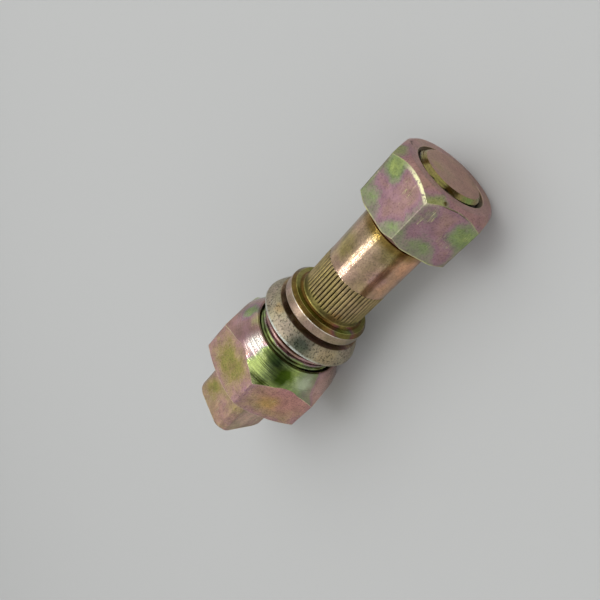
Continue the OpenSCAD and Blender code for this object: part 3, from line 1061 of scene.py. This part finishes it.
# brightness of the room from straight down to straight up
roomTones = [(0.0, grey(0.4)), (0.5, grey(0.95)), (0.6, grey(0.86)), (0.7, grey(0.58)), (0.86, grey(0.57)),
             (1.0, grey(1.2))]
# a dark doorway and a dark corner, which the glossy faces mirror: direction, and where the dark starts
# and is full, as cosines
darkPatches = [((0.62, -0.48, 0.62), 0.915, 0.95), ((-0.5, -0.86, 0.05), 0.9965, 0.9985)]
darkTone = grey(0.03)


def layFloor():
    # both nuts rest on one flat each, so the stud leans down to the smaller nut
    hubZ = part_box("hub_nut")[0].z
    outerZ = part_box("outer_nut")[0].z
    slope = math.atan2(hubZ - outerZ, stage["hubContactX"] - stage["outerContactX"])
    bm = bmesh.new()
    bmesh.ops.create_grid(bm, x_segments=1, y_segments=1, size=stage["floorSize"] / 2)
    bmesh.ops.rotate(bm, verts=bm.verts, cent=(0, 0, 0), matrix=Matrix.Rotation(-slope, 3, "Y"))
    middle = Vector((stage["outerContactX"], 0, outerZ - stage["floorGap"]))
    bmesh.ops.translate(bm, verts=bm.verts, vec=middle)
    mesh = bpy.data.meshes.new("floor")
    bm.to_mesh(mesh)
    bm.free()
    floor = bpy.data.objects.new("floor", mesh)
    bpy.context.scene.collection.objects.link(floor)
    material = bpy.data.materials.new("floorPaper")
    material.use_nodes = True
    shader = material.node_tree.nodes["Principled BSDF"]
    shader.inputs["Base Color"].default_value = stage["floorTone"]
    shader.inputs["Roughness"].default_value = stage["floorRoughness"]
    shader.inputs["Specular IOR Level"].default_value = stage["floorSpecular"]
    mesh.materials.append(material)


def addAreaLight(name, place, along, size, power):
    # a lamp that faces the part, with its long side along the given direction
    data = bpy.data.lights.new(name, "AREA")
    data.shape = "RECTANGLE"
    data.size, data.size_y = size
    data.energy = power
    lamp = bpy.data.objects.new(name, data)
    back = Vector(place).normalized()
    side = (Vector(along) - back * back.dot(Vector(along))).normalized()
    turn = Matrix((side, back.cross(side), back)).transposed()
    lamp.matrix_world = Matrix.Translation(place) @ turn.to_4x4()
    bpy.context.scene.collection.objects.link(lamp)
    return lamp


def lightStage():
    for lamp in brightLamps:
        addAreaLight(*lamp).visible_diffuse = False
    for lamp in softLamps:
        addAreaLight(*lamp).visible_glossy = False
    world = bpy.data.worlds.new("studioRoom")
    bpy.context.scene.world = world
    world.use_nodes = True
    tree = world.node_tree
    tree.nodes.clear()
    direction = addNode(tree, "ShaderNodeTexCoord").outputs["Generated"]
    up = addNode(tree, "ShaderNodeSeparateXYZ", {0: direction}).outputs[2]
    room = ramp(tree, remap(tree, up, -1.0, 1.0), roomTones)
    for towards, start, end in darkPatches:
        near = addNode(tree, "ShaderNodeVectorMath", {0: direction, 1: Vector(towards).normalized()},
                       operation="DOT_PRODUCT").outputs["Value"]
        room = mixColour(tree, remap(tree, near, start, end), room, darkTone)
    seen = addNode(tree, "ShaderNodeLightPath").outputs["Is Camera Ray"]
    colour = mixColour(tree, seen, room, stage["backdrop"])
    background = addNode(tree, "ShaderNodeBackground", {"Color": colour, "Strength": 1.0})
    addNode(tree, "ShaderNodeOutputWorld", {"Surface": background.outputs[0]})


# Camera, turned a quarter as the photo was

camera = {
    "lookAt": (-5.85 * mm, 4.36 * mm, 7.52 * mm),
    "azimuth": math.radians(53.53),
    "elevation": math.radians(44.13),
    "distance": 205.25 * mm,
    "roll": math.radians(90.67),
    "lens": 37.2,
    "sensor": 36,
    "clipStart": 5 * mm,
}


def placeCamera():
    azimuth, elevation = camera["azimuth"], camera["elevation"]
    back = Vector((math.sin(azimuth) * math.cos(elevation), -math.cos(azimuth) * math.cos(elevation),
                   math.sin(elevation)))
    data = bpy.data.cameras.new("photoCamera")
    data.lens = camera["lens"]
    data.sensor_width = camera["sensor"]
    data.clip_start = camera["clipStart"]
    holder = bpy.data.objects.new("photoCamera", data)
    holder.location = Vector(camera["lookAt"]) + back * camera["distance"]
    level = (-back).to_track_quat("-Z", "Y")
    holder.rotation_mode = "QUATERNION"
    holder.rotation_quaternion = level @ Quaternion((0, 0, 1), -camera["roll"])
    bpy.context.scene.collection.objects.link(holder)
    bpy.context.scene.camera = holder


placeCamera()
layFloor()
lightStage()
bpy.context.scene.view_settings.view_transform = "Standard"
print("made the stage")
allLooks = {**studLooks, **hubNutLooks, **innerNutLooks, **outerNutLooks}
finishes = {name: platedMetal(name + "Zinc", look) for name, look in allLooks.items()}
print("made", len(finishes), "finishes")
addPiece(buildStud(), "plated_stud", "stud", list(studLooks), studFinish)
addPiece(buildHubNut(), "plated_hub_nut", "hub_nut",
         list(hubNutLooks), hubNutFinish)
addPiece(buildInnerNut(), "plated_inner_nut", "inner_nut",
         list(innerNutLooks), innerNutFinish)
addPiece(buildOuterNut(), "plated_outer_nut", "outer_nut",
         list(outerNutLooks) + ["bore"], outerNutFinish)
